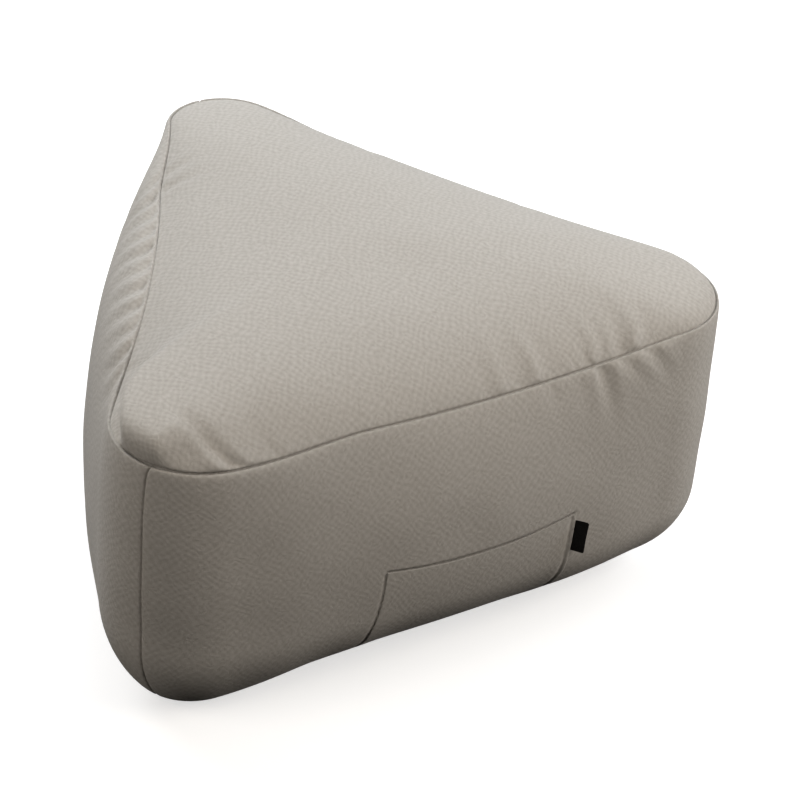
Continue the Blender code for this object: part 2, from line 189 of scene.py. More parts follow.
# The front left corner's seam bends towards the front beside the top seam
BEND, BEND_WIDTH, BEND_REACH = 0.005, 0.030, 0.012

# Distances from a seam at which the fine mesh has its rows, or its columns beside a corner's seam
NEAR_SEAM = (0, 0.0005, 0.0011, 0.0018, 0.0026, 0.0035, 0.0046, 0.0060, 0.0078, 0.010, 0.0128, 0.016, 0.020,
             0.0245, 0.030, 0.036, 0.043, 0.051, 0.060, 0.070, 0.081, 0.093, 0.106)
NEAR_BOTTOM_SEAM = NEAR_SEAM[:14]
NEAR_CORNER_SEAM = NEAR_SEAM[:12]
TOP_ROWS, BAND_ROWS, BOTTOM_ROWS = 20, 48, 8
HANDLE_ROWS_AT, HANDLE_ROWS_REACH = 0.33, 0.06    # share of the band's middle rows' way down at which
HANDLE_ROWS_CLOSER = 6                            # they lie closer together, for the handle's top edge
COLUMN_STEP = 0.0042
COLUMN_STEP_AT_HANDLE = 0.0017
FINE_ROUND_LEFT = 0.006      # reach of the finer columns to both sides of the handle's left edge
FINE_INSIDE_RIGHT, FINE_OUTSIDE_RIGHT = 0.012, 0.022
SAMPLES_DOWN = 400           # rows of the dense surface that the fine mesh is read from
FAR = 1.0                    # a distance at which no seam has an effect
RESTING = 1e-4               # below this height the cloth lies flat on the floor
HANDLE_NEAR_EDGE = (0, 0.0004, 0.0009, 0.0015, 0.0022, 0.0032, 0.0045, 0.0062, 0.0085)
HANDLE_COLUMNS, HANDLE_ROWS = 70, 34
LABEL_NEAR_EDGE = (0, 0.0003, 0.0007, 0.0013)
LABEL_COLUMNS, LABEL_ROWS = 12, 24

# Rows of each panel's grid that the cover keeps, from the middle of the top to the middle of the underside,
# where a single point takes the place of the grid's last row
KEPT_ROWS = {"top": slice(-2, None, -1), "band": slice(None), "bottom": slice(None, -1)}

# The weave: pitches of its uneven groups of warp and weft yarns, and the finer and coarser grains over them,
# with what each gives to the cloth's tone and height
YARN_GROUPS = (0.0104, 0.0116)
WAVES_TOGETHER = 1.6         # the more, the more even the pitch
YARN_TONE, YARN_HEIGHT = 0.30, 0.24
Grain = namedtuple("Grain", "name scale detail roughness tone height")
GRAINS = (
    Grain("slubs", 250, 1, 0.5, 0.80, 0.60),
    Grain("fibres", 900, 2, 0.6, 0.60, 0.50),
    Grain("clouds", 14, 2, 0.5, 0.03, 0),
)
BUMP_DEPTH = 0.00038
CLOTH_DARK = (0.375, 0.354, 0.324, 1)
CLOTH_LIGHT = (0.485, 0.466, 0.436, 1)

# The label's tape
RIB_PITCHES = (0.0011, 0.0007)
RIB_TONE = 0.25
FUZZ_SCALE = 1500
TAPE_BUMP_DEPTH = 0.0001
TAPE_DARK = (0.002, 0.002, 0.002, 1)
TAPE_LIGHT = (0.010, 0.010, 0.009, 1)

# The photograph's camera
AZIMUTH, ELEVATION, ROLL = -32.60, 35.14, 4.83
DISTANCE = 3.510
TARGET = Vector((0.0742, -0.0059, 0.1904))
IMAGE_WIDTH = 800
FOCAL_PIXELS = 2838.8
SENSOR = 36.0                # millimetres

# The studio
FLOOR_RADIUS = 30
FLOOR_DROP = 0.0005          # below the pouf's flat underside
LAMP_DISTANCE = 3.0
LAMP_SIZE = 1.8
LAMP_HEIGHT = 0.2            # height of the point that the lamps face
LAMP_POWER = 47
Lamp = namedtuple("Lamp", "name azimuth elevation strength")
LAMPS = (
    Lamp("right", 80, 35, (0.530, 0.568, 0.614)),
    Lamp("right_front", 40, 35, (1.172, 1.083, 0.983)),
    Lamp("back_left", 200, 35, (1.033, 1.053, 1.069)),
    Lamp("left", 280, 35, (0.644, 0.598, 0.545)),
    Lamp("back_right", 160, 35, (0.788, 0.819, 0.850)),
)
SKY_ABOVE = (0.050, 0.046, 0.042)
SKY_BELOW = (0, 0, 0)


def ring_place(pitches, along):
    """Distance round the ring of a point `along` metres past a corner's or an edge's middle."""
    return pitches * PITCH + along


def ring_gap(place, other):
    """Signed distance round the ring from `other` to each place, the short way."""
    whole = 3 * PITCH
    return (place - other + whole / 2) % whole - whole / 2


def ease(part):
    """From 0 to 1, flat at both ends."""
    part = np.clip(part, 0, 1)
    return part * part * (3 - 2 * part)


def outline(place):
    """Point and outward direction on the plain rounded triangle at each ring place."""
    nearest = np.round(place / PITCH)
    past = place - nearest * PITCH
    on_arc = np.clip(past, -ARC / 2, ARC / 2)
    corner = np.radians(120 * nearest - 150)
    angle = corner + on_arc / CORNER_RADIUS
    centre = 2 * (INRADIUS - CORNER_RADIUS) * np.stack([np.cos(corner), np.sin(corner)], -1)
    outward = np.stack([np.cos(angle), np.sin(angle)], -1)
    forward = np.stack([-np.sin(angle), np.cos(angle)], -1)
    point = centre + CORNER_RADIUS * outward + (past - on_arc)[..., None] * forward
    return point, outward


def shares(place):
    """How much each place belongs to each edge's middle, and to each corner."""
    edges, corners = [], []
    for index in range(3):
        along = ring_gap(place, ring_place(index + 0.5, 0)) / (STRAIGHT / 2)
        bow = 1 - along ** 2
        edges.append((bow + np.sqrt(bow ** 2 + EDGE_BLEND ** 2)) / 2)
        past_arc = np.abs(ring_gap(place, ring_place(index, 0))) - ARC / 2
        corners.append(ease(1 - past_arc / CORNER_BLEND))
    return edges, corners


def mixed(weights, rows, field):
    """A table's field, mixed by each row's share."""
    return sum(weight * getattr(row, field) for weight, row in zip(weights, rows))


def handed(place, field):
    """A field of the nearest edge, handed over to its corners near them."""
    corners = shares(place)[1]
    nearest = np.floor(place / PITCH).astype(int) % 3
    own = np.array([getattr(edge, field) for edge in EDGES])[nearest]
    return mixed(corners, CORNERS, field) + (1 - sum(corners)) * own


def seam_push(place):
    """How far outside the plain triangle the top seam runs."""
    edges, corners = shares(place)
    return mixed(corners, CORNERS, "reach") - mixed(edges, EDGES, "draw_in")


def seam_rise(place):
    """How far above its nominal height the top seam runs."""
    edges, corners = shares(place)
    return mixed(corners, CORNERS, "rise") - mixed(edges, EDGES, "sag")


def puff_share(place, inward):
    """How much each place has of the front left corner's puff, which is longer further in."""
    along = ring_gap(place, ring_place(FRONT_LEFT, 0))
    spread = 1 + PUFF_SPREAD * (1 - np.exp(-(inward / SPREAD_REACH) ** 2))
    fall = np.exp(-(np.maximum(along - PUFF_FULL_END, 0) / (PUFF_FALL * spread)) ** 2)
    onset = ease((along / spread - PUFF_START) / PUFF_ONSET)
    return onset * (1 - ease((along - PUFF_END) / PUFF_CLOSE)) * (PUFF_REST + (1 - PUFF_REST) * fall)


def puff(place, inward):
    """How much the top panel puffs out over its seam, round the front left corner."""
    return puff_share(place, inward) * (1 - np.exp(-inward / PUFF_QUICK)) * np.exp(-inward / PUFF_SLOW)


def top(place, inward):
    """Top panel, at a distance in from its seam."""
    point, outward = outline(place)
    rim = point + seam_push(place)[..., None] * outward
    puffed = puff(place, inward)
    flat = rim * (1 - inward / CLOSING)[..., None] + PUFF_ROLL * puffed[..., None] * outward
    height = (SEAM_HEIGHT + CROWN_RISE * (1 - np.exp(-inward / CROWN_REACH))
              + SHOULDER_RISE * (1 - np.exp(-inward / handed(place, "shoulder")))
              + seam_rise(place) * np.exp(-inward / SAG_REACH) + PUFF_RISE * puffed)
    return np.concatenate([flat, height[..., None]], -1)


def handle_dent(place, height):
    """How far the handle draws in the band under it."""
    middle, half = (HANDLE_LEFT + HANDLE_RIGHT) / 2, (HANDLE_RIGHT - HANDLE_LEFT) / 2
    across = ring_gap(place, ring_place(FRONT, middle)) / half
    up = (height - DENT_HEIGHT) / DENT_HEIGHT
    return HANDLE_DENT * np.exp(-across ** DENT_EDGE_POWER - up ** 2)


def band(place, part):
    """Side band, from the top seam at 0 to the bottom seam at 1."""
    point, outward = outline(place)
    edges, corners = shares(place)
    rim_height = SEAM_HEIGHT + seam_rise(place)
    height = rim_height + (handed(place, "foot") - rim_height) * part
    down = 1 - height / rim_height
    swell = mixed(corners, CORNERS, "swell") + mixed(edges, EDGES, "swell")
    tuck = handed(place, "tuck")
    bulge = np.clip(down, 0, 1) ** SWELL_SKEW
    push = (seam_push(place) * (1 - down) + swell * (4 * bulge * (1 - bulge)) ** handed(place, "power")
            - tuck * np.clip((down - TUCK_START) / (1 - TUCK_START), 0, 1) ** TUCK_POWER
            - handle_dent(place, height))
    flat = point + push[..., None] * outward
    return np.concatenate([flat, height[..., None]], -1)


def bottom(place, part):
    """Bottom panel, from its seam at 0 to the middle of the underside at CLOSING / BOTTOM_ROLL."""
    rim = band(place, np.ones_like(place))[..., :2]
    flat = rim * (1 - BOTTOM_ROLL * part / CLOSING)[..., None]
    height = handed(place, "foot") * (1 - np.clip(part, 0, 1)) ** 2
    return np.concatenate([flat, height[..., None]], -1)


def band_part(place, height):
    """Part of the way down the band at which it has a given height."""
    rim_height = SEAM_HEIGHT + seam_rise(place)
    return (rim_height - height) / (rim_height - handed(place, "foot"))


def handle_left(height):
    """Where the handle's left edge runs, along the front from its middle."""
    down = (HANDLE_TOP - height) / (HANDLE_TOP - HANDLE_FOOT)
    return HANDLE_LEFT - HANDLE_FLARE * np.clip(down, 0, FLARE_END) ** 2


def handle_top(along):
    """Height of the handle's free top edge."""
    across = (2 * along - HANDLE_LEFT - HANDLE_RIGHT) / (HANDLE_RIGHT - HANDLE_LEFT)
    return HANDLE_TOP - HANDLE_DROOP * (1 - np.clip(across, -1, 1) ** 2)


def ring_waves(place, lengths, seed, count=18):
    """Noise round the ring, of about unit strength, that meets itself after one turn."""
    random = np.random.default_rng(seed)
    whole = 3 * PITCH
    turns = np.round(whole / random.uniform(*lengths, count))
    phases = random.uniform(0, 2 * pi, count)
    waves = [np.sin(2 * pi * turn * place / whole + phase) for turn, phase in zip(turns, phases)]
    return sum(waves) * sqrt(2 / count)


def space_waves(points, lengths, seed, count=30):
    """Smooth noise in space, of about unit strength."""
    random = np.random.default_rng(seed)
    directions = random.normal(size=(count, 3))
    directions /= np.linalg.norm(directions, axis=1, keepdims=True)
    waves = 0
    lengths = random.uniform(*lengths, count)
    phases = random.uniform(0, 2 * pi, count)
    for direction, length, phase in zip(directions, lengths, phases):
        waves = waves + np.sin(2 * pi * points @ direction / length + phase)
    return waves * sqrt(2 / count)


def side_puckers():
    """The row of puckers on the left side."""
    rows = zip(np.linspace(*RIPPLE_ALONG, RIPPLES), np.linspace(*RIPPLE_LEAN, RIPPLES))
    puckers = []
    for index, (along, lean) in enumerate(rows):
        depth = RIPPLE_DEPTH * (1 + RIPPLE_UNEVEN * sin(RIPPLE_TURNS * index + RIPPLE_FIRST))
        puckers.append(Pucker("band", LEFT, along, lean, RIPPLE_LENGTH, RIPPLE_WIDTH, depth, RIPPLE_SWEEP))
    return puckers


def pucker_depth(panel, place, away):
    """Depth of a panel's puckers and small gathers at a distance away from the top seam."""
    start = 1 - np.exp(-(away / PUCKER_START) ** 2)
    depth = np.zeros_like(place)
    for pucker in [*PUCKERS, *side_puckers()]:
        if pucker.panel != panel:
            continue
        swept = pucker.sweep * (1 - np.exp(-away / SWEEP_REACH))
        course = ring_place(pucker.middle, pucker.along + pucker.lean * away + swept)
        across = (ring_gap(place, course) / pucker.width) ** 2
        fade = np.exp(-(away / pucker.length) ** 2) * start
        depth += pucker.depth * (1 - across) * np.exp(-across / 2) * fade
    gathers = ring_waves(place, GATHER_WAVES, 5 if panel == "top" else 8)
    return depth + GATHER_DEPTH * gathers * np.exp(-away / GATHER_REACH) * start


def fold_depth(distance):
    """Depth of a seam's groove at a distance from the seam."""
    return FOLD_DEPTH * np.exp(-distance / FOLD_WIDTH) + SOFT_DEPTH * np.exp(-(distance / SOFT_WIDTH) ** 2)


def top_seam_depth(place, distance):
    """Depth of the top seam's groove, deepest under the puff."""
    under_puff = UNDER_PUFF_DEPTH * puff_share(place, 0) * np.exp(-(distance / UNDER_PUFF_WIDTH) ** 2)
    return seam_strength(place) * fold_depth(distance) + under_puff


def seam_strength(place):
    """How strongly the top seam draws in the cloth: little along the left side, up to the puff."""
    along = ring_gap(place, ring_place(FRONT_LEFT, 0))
    beside_puff = (along < 0) & (along > -PITCH / 2)
    to_puff = LEFT_FOLD + (1 - LEFT_FOLD) * ease((along - PUFF_START) / PUFF_ONSET)
    return np.where(beside_puff, to_puff, handed(place, "fold"))


def corner_depth(place):
    """Depth of the groove along the corners' seams."""
    to_corner = np.min([np.abs(ring_gap(place, ring_place(corner, 0))) for corner in range(3)], axis=0)
    return CORNER_DEPTH * np.exp(-to_corner / CORNER_WIDTH)


def corner_bend(place, away):
    """How far the columns at the front left corner bend towards the front beside the top seam."""
    along = ring_gap(place, ring_place(FRONT_LEFT, 0))
    return BEND * np.exp(-(along / BEND_WIDTH) ** 2 - away / BEND_REACH)


def hem_depth(along, height):
    """How deep the row of stitches near the handle's right edge draws in the handle and the band."""
    across = np.exp(-((HANDLE_RIGHT - HEM - along) / HEM_WIDTH) ** 2)
    return HEM_DEPTH * across * ease((handle_top(along) - height) / HEM_ONSET)


def press_depth(place, height):
    """How deep the handle and its edges press into the band."""
    along = ring_gap(place, ring_place(FRONT, 0))
    left = along - handle_left(height)
    above = height - handle_top(along)
    beside = (np.exp(-((left + PRESS_LEFT_AT) / PRESS_LEFT_WIDTH) ** 2)
              * ease((HANDLE_TOP + PRESS_PAST - height) / PRESS_FADE))
    across = (ease((along - HANDLE_LEFT + PRESS_PAST) / PRESS_FADE)
              * ease((HANDLE_RIGHT + PRESS_PAST - along) / PRESS_FADE))
    over = np.exp(-((above - PRESS_TOP_AT) / PRESS_TOP_WIDTH) ** 2) * across
    under = ease(left / UNDER_FROM_LEFT) * ease((HANDLE_RIGHT - along) / HEM) * ease(-above / UNDER_FROM_TOP)
    return (PRESS_LEFT_DEPTH * beside + PRESS_TOP_DEPTH * over + PRESS_UNDER_DEPTH * under
            + hem_depth(along, height))


def painted_crease_shade(panel, place, from_top_seam, from_bottom_seam, points):
    """How much shade is painted on each point in a narrow fold, at a seam or the handle's top edge."""
    painted_share = (seam_strength(place) * np.exp(-(from_top_seam / PAINTED_SHADE_WIDTH) ** 2)
            + np.exp(-(from_bottom_seam / PAINTED_SHADE_WIDTH) ** 2))
    if panel == "band":
        along, height = ring_gap(place, ring_place(FRONT, 0)), points[..., 2]
        across = (ease((along - HANDLE_LEFT) / EDGE_PAINTED_SHADE_FADE)
                  * ease((HANDLE_RIGHT - along) / EDGE_PAINTED_SHADE_FADE))
        painted_share = painted_share + across * np.exp(-((height - handle_top(along)) / EDGE_PAINTED_SHADE_WIDTH) ** 2)
    return painted_share


def relief(panel, place, from_top_seam, from_bottom_seam, points):
    """How deep seams, puckers, slow waves and the handle draw in the cloth."""
    if panel == "bottom":
        return fold_depth(from_bottom_seam)
    depth = SLOW_DEPTH * space_waves(points, SLOW_WAVES, 3) * ease(from_top_seam / SLOW_ONSET)
    if panel == "top":
        return depth + top_seam_depth(place, from_top_seam) + pucker_depth(panel, place, from_top_seam)
    lip = LIP_HEIGHT * (1 - np.exp(-from_top_seam / LIP_START)) * np.exp(-from_top_seam / LIP_REACH)
    piping = np.exp(-(from_top_seam / PIPING_WIDTH - PIPING_AT) ** 2)
    lip += PIPING_HEIGHT * (1 - seam_strength(place)) * piping
    return (depth + top_seam_depth(place, from_top_seam) + fold_depth(from_bottom_seam)
            + corner_depth(place) - lip + pucker_depth(panel, place, from_top_seam)
            + press_depth(place, points[..., 2]))


def row_shares(count, closer):
    """Shares of the way down for evenly spaced rows, or for rows that lie closer at the handle's top edge."""
    share = np.linspace(0, 1, SAMPLES_DOWN)
    density = 1 + closer * np.exp(-((share - HANDLE_ROWS_AT) / HANDLE_ROWS_REACH) ** 2)
    filled = np.cumsum(density) - density[0]
    return np.interp(np.linspace(0, 1, count + 2)[1:-1], filled / filled[-1], share)


def read_rows(dense, near_start, near_end, between):
    """Rows of a dense grid at set distances from its first and last rows, and at set shares between them.

    Returns the rows' points and their distances from the first and from the last row.
    """
    steps = np.linalg.norm(np.diff(dense, axis=0), axis=-1)
    travelled = np.concatenate([np.zeros((1, dense.shape[1])), np.cumsum(steps, axis=0)])
    points, distances = [], []
    for column in range(dense.shape[1]):
        whole = travelled[-1, column]
        start, end = np.array(near_start), whole - np.array(near_end)[::-1]
        middle = start[-1] + between * ((end[0] if len(end) else whole) - start[-1])
        at = np.concatenate([start, middle, end if len(end) else [whole]])
        points.append([np.interp(at, travelled[:, column], dense[:, column, axis]) for axis in range(3)])
        distances.append(at)
    distances = np.array(distances).T
    return np.array(points).transpose(2, 0, 1), distances, travelled[-1] - distances


def ring_columns():
    """Ring places of the mesh's columns, closer together at the corners' seams and the handle's ends."""
    places = []
    edge_of_fine = NEAR_CORNER_SEAM[-1]
    stops = [HANDLE_LEFT - HANDLE_FLARE - FINE_ROUND_LEFT, HANDLE_LEFT + FINE_ROUND_LEFT,
             HANDLE_RIGHT - FINE_INSIDE_RIGHT, HANDLE_RIGHT + FINE_OUTSIDE_RIGHT]
    for corner in range(3):
        beside = [*(-np.array(NEAR_CORNER_SEAM[:0:-1])), *NEAR_CORNER_SEAM[:-1]]
        places += [ring_place(corner, along) for along in beside]
        ends = [edge_of_fine - PITCH / 2, *(stops if corner == 0 else []), PITCH / 2 - edge_of_fine]
        for run, (start, end) in enumerate(zip(ends, ends[1:])):
            step = COLUMN_STEP_AT_HANDLE if run % 2 else COLUMN_STEP
            count = int(round((end - start) / step))
            places += list(ring_place(corner + 0.5, np.linspace(start, end, count, endpoint=False)))
    return np.array(places)


def grid_normals(grid, closed):
    """Outward direction at each point of a grid whose rows run down and columns round the ring."""
    if closed:
        across = np.roll(grid, -1, axis=1) - np.roll(grid, 1, axis=1)
    else:
        across = np.gradient(grid, axis=1)
    normal = np.cross(np.gradient(grid, axis=0), across)
    return normal / np.maximum(np.linalg.norm(normal, axis=-1, keepdims=True), 1e-12)


def grid_faces(rows, columns, closed, first=0):
    """Quads of a grid, facing outwards."""
    quads_across = columns if closed else columns - 1
    row, column = np.meshgrid(np.arange(rows - 1), np.arange(quads_across), indexing="ij")
    here = first + row * columns + column
    beside = first + row * columns + (column + 1) % columns
    return np.stack([here, here + columns, beside + columns, beside], -1).reshape(-1, 4)


def grid_uvs(coordinates):
    """Cloth coordinates of each quad's corners, from a grid with one more column than the faces need."""
    corners = [coordinates[:-1, :-1], coordinates[1:, :-1], coordinates[1:, 1:], coordinates[:-1, 1:]]
    return np.stack(corners, 2).reshape(-1, 2)


def middle_faces(ring, middle, columns, turn):
    """Triangles from a closed ring of points to the point in its middle."""
    pairs = [[ring + column, ring + (column + 1) % columns] for column in range(columns)]
    return [[middle, *pair[::turn]] for pair in pairs]


def add_piece(name, points, faces, uvs, painted_shade_values, material):
    """A smooth mesh object with cloth coordinates and painted shade in its creases, which rides on the pouf.
    """
    mesh = bpy.data.meshes.new(name)
    mesh.from_pydata(points, [], faces)
    mesh.shade_smooth()
    layer = mesh.uv_layers.new(name="cloth")
    layer.data.foreach_set("uv", np.asarray(uvs, dtype=np.float32).ravel())
    # painted shade of the narrow folds, which the material darkens the cloth's colour with
    painted_share = mesh.attributes.new("painted_shade", "FLOAT", "POINT")
    painted_share.data.foreach_set("value", np.asarray(painted_shade_values, dtype=np.float32).ravel())
    mesh.materials.append(material)
    piece = bpy.data.objects.new(name, mesh)
    bpy.context.scene.collection.objects.link(piece)
    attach(piece, "root")
    return piece


def cloth_coordinates(panel, place, points, from_start):
    """Where a panel's points lie on the flat cloth, with the first column once more after the last."""
    if panel == "band":
        flat = np.stack([place, -from_start], -1)
        return np.concatenate([flat, flat[:, :1] + (3 * PITCH, 0)], axis=1)
    slack = from_start - np.linalg.norm(points[..., :2] - points[0, :, :2], axis=-1)
    flat = points[..., :2] + (slack[-1] - slack)[..., None] * outline(place)[1]
    return np.concatenate([flat, flat[:, :1]], axis=1)


def joined_panels(parts):
    """One grid from those of the three panels, which share the rows at their seams."""
    return np.concatenate([parts[0], parts[1][1:], parts[2][1:]])


def build_cover(material):
    """The filled cover, one closed mesh: top panel, side band and bottom panel, with their seams."""
    places = ring_columns()
    columns = len(places)
    everywhere = np.broadcast_to(places, (SAMPLES_DOWN, columns))
    part = np.linspace(0, 1, SAMPLES_DOWN)[:, None] * np.ones(columns)
    inward, down = part ** 2 * CLOSING, part ** 3
    dense = {
        "top": top(everywhere + corner_bend(everywhere, inward), inward),
        "band": band(everywhere + corner_bend(everywhere, SEAM_HEIGHT * down), down),
        "bottom": bottom(everywhere, part * CLOSING / BOTTOM_ROLL),
    }
    rows = {
        "top": read_rows(dense["top"], NEAR_SEAM, (), row_shares(TOP_ROWS, 0)),
        "band": read_rows(dense["band"], NEAR_SEAM, NEAR_BOTTOM_SEAM,
                          row_shares(BAND_ROWS, HANDLE_ROWS_CLOSER)),
        "bottom": read_rows(dense["bottom"], NEAR_BOTTOM_SEAM, (), row_shares(BOTTOM_ROWS, 0)),
    }
    grids, depths, painted_shade_marks, coordinates = [], [], [], []
    for panel, (points, from_start, from_end) in rows.items():
        place = np.broadcast_to(places, from_start.shape)
        far = np.full_like(from_start, FAR)
        from_top = far if panel == "bottom" else from_start
        from_bottom = {"top": far, "band": from_end, "bottom": from_start}[panel]
        kept = KEPT_ROWS[panel]
        grids.append(points[kept])
        depths.append(relief(panel, place, from_top, from_bottom, points)[kept])
        # painted shade in each panel's narrow folds
        painted_shade_marks.append(painted_crease_shade(panel, place, from_top, from_bottom, points)[kept])
        coordinates.append(cloth_coordinates(panel, place, points, from_start)[kept])
    grid, depth, painted_share = joined_panels(grids), joined_panels(depths), joined_panels(painted_shade_marks)
    depth[grid[..., 2] < RESTING] = 0
    grid = grid - grid_normals(grid, True) * depth[..., None]
    grid[..., 2] = np.maximum(grid[..., 2], 0)
    faces, uvs, first = [], [], 0
    for flat in coordinates:
        faces.append(grid_faces(flat.shape[0], columns, True, first))
        uvs.append(grid_uvs(flat))
        first += (flat.shape[0] - 1) * columns
    points = [*grid.reshape(-1, 3).tolist(), grid[0].mean(0).tolist(), (0, 0, 0)]
    painted_shade_values = [*painted_share.ravel(), 0, 0]
    ends = [*middle_faces(0, painted_share.size, columns, 1), *middle_faces(first, painted_share.size + 1, columns, -1)]
    faces = [*np.concatenate(faces).tolist(), *ends]
    uvs = np.concatenate([*uvs, *[[points[index][:2] for index in face] for face in ends]])
    return add_piece("pouf_cover", points, faces, uvs, painted_shade_values, material)


def on_front(along, height):
    """Points and outward directions on the front of the band."""
    place = ring_place(FRONT, along)
    grid = band(place, band_part(place, height))
    return grid, grid_normals(grid, False)


def closed_sheet(name, along, height, outer, inner, uvs, painted_shade_marks, material):
    """A sheet on the front of the band, between two distances from it, closed round its edge."""
    points, normals = on_front(along, height)
    rows, columns = along.shape
    front = points + normals * outer[..., None]
    back = points + normals * inner[..., None]
    vertices = np.concatenate([front.reshape(-1, 3), back.reshape(-1, 3)])
    outside = grid_faces(rows, columns, False)
    inside = outside[:, ::-1] + rows * columns
    edge = [*range(columns), *range(2 * columns - 1, rows * columns, columns),
            *range(rows * columns - 2, (rows - 1) * columns - 1, -1),
            *range((rows - 2) * columns, 0, -columns)]
    rim = [(here, after, after + rows * columns, here + rows * columns)
           for here, after in zip(edge, [*edge[1:], edge[0]])]
    faces = [*outside.tolist(), *inside.tolist(), *rim]
    flat = np.tile(uvs.reshape(-1, 2), (2, 1))
    loops = np.concatenate([flat[list(face)] for face in faces])
    # painted shade, the same on both faces of the sheet
    painted_shade_values = np.tile(painted_shade_marks.ravel(), 2)
    return add_piece(name, vertices.tolist(), faces, loops, painted_shade_values, material)


def stretched_steps(length, near, between):
    """Distances along a length, at set distances from both ends and evenly between them."""
    near = np.array(near)
    middle = np.linspace(near[-1], length - near[-1], between + 2)[1:-1]
    return np.concatenate([near, middle, length - near[::-1]])


def rounded_edge(to_edge, reach):
    """From 0 at an edge to 1 at a distance in from it, as a quarter circle."""
    return np.sqrt(np.clip(1 - (1 - np.clip(to_edge / reach, 0, 1)) ** 2, 0, 1))


def build_handle(material):
    """The carrying handle: a taut strip with folded edges, stitched down near its right end."""
    from_left = stretched_steps(HANDLE_RIGHT - HANDLE_LEFT, HANDLE_NEAR_EDGE, HANDLE_COLUMNS)
    from_top = stretched_steps(HANDLE_TOP - HANDLE_FOOT, HANDLE_NEAR_EDGE, HANDLE_ROWS)
    across = from_left / from_left[-1]
    down = (from_top / from_top[-1])[:, None]
    top_edge = handle_top(HANDLE_LEFT + from_left)[None, :]
    height = top_edge + (HANDLE_FOOT - top_edge) * down
    left = handle_left(height)
    along = left + (HANDLE_RIGHT - left) * across
    to_left, to_right = along - left, HANDLE_RIGHT - along
    to_top, to_foot = top_edge - height, height - HANDLE_FOOT
    to_edge = np.minimum(np.minimum(to_left, to_right), np.minimum(to_top, to_foot))
    inner = CLEARANCE - HANDLE_SINK * ease(to_right / HEM) - hem_depth(along, height)
    sewn = SEWN_SHARE + (1 - SEWN_SHARE) * ease(to_right / HEM)
    outer = inner + EDGE_THICKNESS + HANDLE_THICKNESS * rounded_edge(to_edge, HANDLE_ROUND) * sewn
    uvs = np.stack([along, height], -1)
    # painted shade along the handle's top edge, where it meets the band
    painted_shade_marks = np.exp(-(to_top / EDGE_PAINTED_SHADE_WIDTH) ** 2)
    handle = closed_sheet("carry_handle", along, height, outer, inner, uvs, painted_shade_marks, material)
    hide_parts("handle")
    return handle


def build_label(material):
    """The small folded label held by the handle's right end, turned away from the band."""
    across = stretched_steps(LABEL_WIDTH, LABEL_NEAR_EDGE, LABEL_COLUMNS)
    from_top = stretched_steps(LABEL_HEIGHT, LABEL_NEAR_EDGE, LABEL_ROWS)
    from_top, across = np.meshgrid(from_top, across, indexing="ij")
    to_end = np.minimum(from_top, LABEL_HEIGHT - from_top)
    past = np.clip(1 - to_end / LABEL_ROUND, 0, 1)
    across = across * (1 - LABEL_ROUND / LABEL_WIDTH * (1 - np.sqrt(1 - past ** 2)))
    along = HANDLE_RIGHT + CLEARANCE + cos(LABEL_TURN) * across
    height = LABEL_TOP - from_top
    to_edge = np.minimum(across.max(axis=1, keepdims=True) - across, to_end)
    curl = LABEL_CURL * np.sin(pi * from_top / LABEL_HEIGHT) * (across / LABEL_WIDTH) ** 2
    outer = CLEARANCE + LABEL_THICKNESS + sin(LABEL_TURN) * across - curl
    inner = outer - EDGE_THICKNESS - LABEL_THICKNESS * rounded_edge(to_edge, LABEL_EDGE_ROUND)
    uvs = np.stack([across, height], -1)
    # no painted shade on the label
    painted_shade_marks = np.zeros_like(along)
    label = closed_sheet("label_tape", along, height, outer, inner, uvs, painted_shade_marks, material)
    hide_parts("label")
    return label


class Nodes:
    """Short calls for the nodes of one material."""

    def __init__(self, name):
        self.material = bpy.data.materials.new(name)
        self.material.use_nodes = True
        self.tree = self.material.node_tree
        self.shader = self.tree.nodes["Principled BSDF"]

    def node(self, kind, **settings):
        made = self.tree.nodes.new("ShaderNode" + kind)
        for key, value in settings.items():
            setattr(made, key, value)
        return made

    def put(self, socket, value):
        if isinstance(value, bpy.types.NodeSocket):
            self.tree.links.new(value, socket)
        else:
            socket.default_value = value

    def math(self, operation, first, second=0.0, third=0.0):
        made = self.node("Math", operation=operation)
        for socket, value in zip(made.inputs, (first, second, third)):
            self.put(socket, value)
        return made.outputs[0]

    def noise(self, vector, scale, detail, roughness):
        made = self.node("TexNoise")
        self.put(made.inputs["Vector"], vector)
        made.inputs["Scale"].default_value = scale
        made.inputs["Detail"].default_value = detail
        made.inputs["Roughness"].default_value = roughness
        return made.outputs["Fac"]

    def mix(self, factor, first, second):
        made = self.node("Mix", data_type="RGBA")
        self.put(made.inputs["Factor"], factor)
        self.put(made.inputs["A"], first)
        self.put(made.inputs["B"], second)
        return made.outputs["Result"]

    def bump(self, height, distance):
        made = self.node("Bump")
        self.put(made.inputs["Height"], height)
        made.inputs["Distance"].default_value = distance
        return made.outputs["Normal"]


